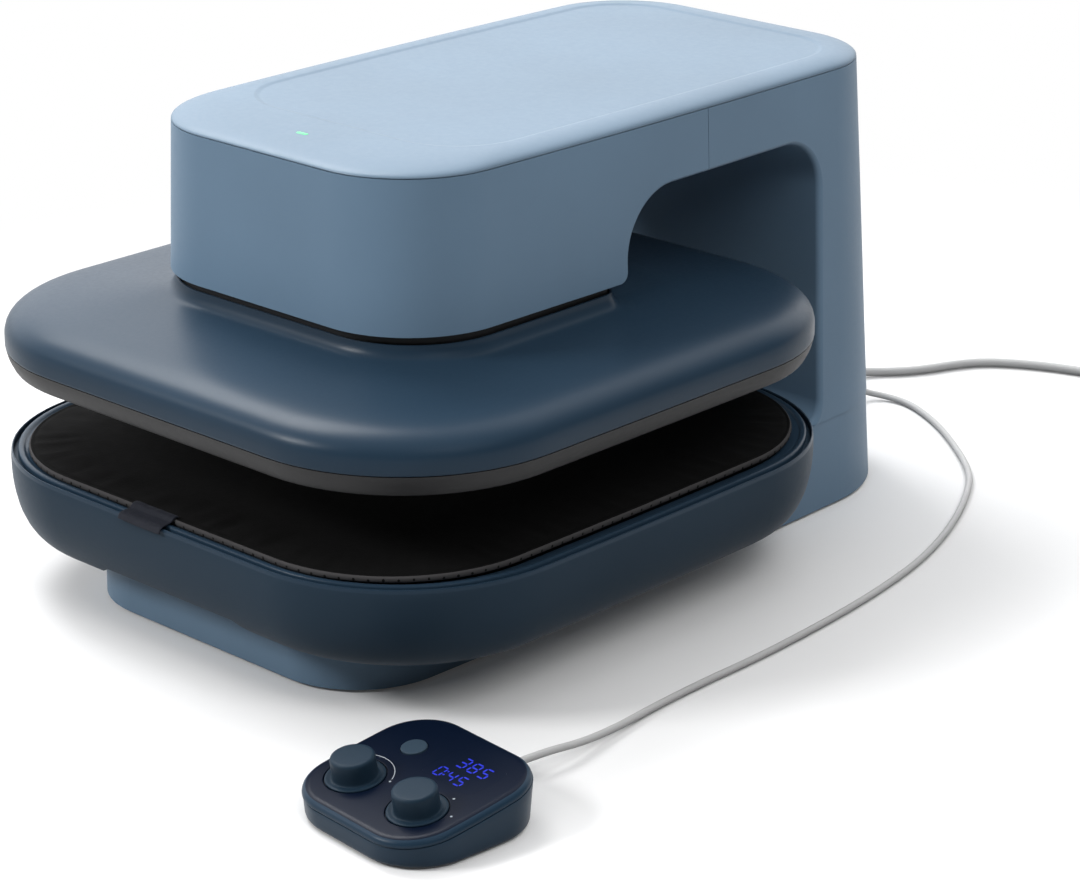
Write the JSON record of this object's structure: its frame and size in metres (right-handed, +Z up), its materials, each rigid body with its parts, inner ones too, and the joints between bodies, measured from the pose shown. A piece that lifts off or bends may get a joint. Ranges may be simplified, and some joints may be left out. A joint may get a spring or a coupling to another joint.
{
  "type": "flat heat press",
  "caption": "Flat heat press: a square heated platen comes down from a head on a rear post onto a square padded tray; a corded pod holds its dials and button.",
  "frame": {"origin": "on the floor, centre of the foot ring's plane under the heated plate's centre", "axes": "+Z up, -Y towards the user, X = 0 is the machine's plane of symmetry"},
  "size_m": [0.5179, 1.0579, 0.3025],
  "materials": {
    "shell_blue": "matt",
    "shell_navy": "satin",
    "graphite": "matt",
    "steel": "brushed",
    "painted_steel": "satin",
    "coated_aluminium": "coated",
    "aluminium": "satin",
    "brass": "satin",
    "mat_rubber": "matt",
    "rubber": "matt",
    "fabric": "woven",
    "board": "satin",
    "insulation": "matt",
    "lens": "gloss",
    "window": "gloss",
    "dial_blue": "matt",
    "gear_plastic": "satin",
    "lead_grey": "satin",
    "plug_grey": "satin"
  },
  "bodies": {
    "body": {"post_shell": "shell_blue", "head_shell": "shell_blue", "top_cover": "shell_blue", "status_light": "lens", "base_shell": "shell_blue", "base_plate": "painted_steel", "foot_ring": "rubber", "frame_left": "painted_steel", "frame_right": "painted_steel", "frame_spacers": "steel", "frame_bolts": "steel", "bed_beams": "painted_steel", "head_plate": "aluminium", "guide_bushes": "brass", "screw_bearing": "steel", "motor_plate": "painted_steel", "drive_motor": "steel", "tray_shell": "shell_navy", "tray_bezel": "shell_navy", "press_bed": "graphite", "press_mat": "mat_rubber", "mat_tag": "fabric", "power_board": "board", "control_board": "board", "switch_housing": "graphite", "pod_base": "shell_navy", "pod_feet": "rubber", "pod_cover": "shell_navy", "display_window": "window", "pod_board": "board", "dial_encoders": "graphite", "mains_strain_relief": "plug_grey", "pod_lead_strain_relief": "plug_grey", "pod_lead_boot": "plug_grey", "mains_lead": "lead_grey", "mains_coil": "lead_grey", "pod_lead": "lead_grey", "mains_plug": "plug_grey"},
    "platen": {"platen_cover": "shell_navy", "heat_shield": "graphite", "platen_sleeve": "shell_navy", "heat_plate": "coated_aluminium", "heating_element": "steel", "ceramic_board": "insulation", "temperature_sensor": "steel", "thermal_cutout": "insulation", "plate_standoffs": "steel", "crosshead": "aluminium", "guide_rods": "steel", "drive_column": "steel", "drive_nut": "brass"},
    "screw": {"lead_screw": "steel", "screw_gear": "gear_plastic"},
    "pinion": {"drive_pinion": "steel"},
    "rocker": {"switch_rocker": "graphite"},
    "temperature_push": {"temperature_spindle": "steel"},
    "temperature_knob": {"temperature_dial": "dial_blue"},
    "time_push": {"time_spindle": "steel"},
    "time_knob": {"time_dial": "dial_blue"},
    "round_button": {"pod_button": "dial_blue"}
  },
  "joints": [
    {"name": "platen_slide", "type": "slide", "parent": "body", "child": "platen", "axis": [0, 0, -1], "range_m": [0, 0.0484]},
    {"name": "screw_turn", "type": "hinge", "parent": "body", "child": "screw", "pos_m": [0, 0, 0.23], "axis": [0, 0, 1], "range_deg": [0, 2179]},
    {"name": "pinion_turn", "type": "hinge", "parent": "body", "child": "pinion", "pos_m": [0, -0.04, 0.239], "axis": [0, 0, 1], "range_deg": [-6536, 0]},
    {"name": "temperature_press", "type": "slide", "parent": "body", "child": "temperature_push", "axis": [0.0134, 0.142, -0.9898], "range_m": [0, 0.0006], "stiffness_N_per_m": 3000, "springref_m": -0.0003},
    {"name": "temperature_turn", "type": "hinge", "parent": "temperature_push", "child": "temperature_knob", "pos_m": [0.22102, -0.26509, 0.02054], "axis": [-0.0134, -0.142, 0.9898], "continuous": true},
    {"name": "time_press", "type": "slide", "parent": "body", "child": "time_push", "axis": [0.0134, 0.142, -0.9898], "range_m": [0, 0.0006], "stiffness_N_per_m": 3000, "springref_m": -0.0003},
    {"name": "time_turn", "type": "hinge", "parent": "time_push", "child": "time_knob", "pos_m": [0.27329, -0.27003, 0.02054], "axis": [-0.0134, -0.142, 0.9898], "continuous": true},
    {"name": "button_press", "type": "slide", "parent": "body", "child": "round_button", "axis": [0.0134, 0.142, -0.9898], "range_m": [0, 0.0005], "stiffness_N_per_m": 1000, "springref_m": -0.0003},
    {"name": "switch_rock", "type": "hinge", "parent": "body", "child": "rocker", "pos_m": [0, 0.352, 0.09988], "axis": [1, 0, 0], "range_deg": [0, 14]}
  ],
  "couplings": [
    {"joint": "screw_turn", "follows": "platen_slide", "rad_per_m": 785.4},
    {"joint": "pinion_turn", "follows": "platen_slide", "rad_per_m": -2356.2}
  ]
}
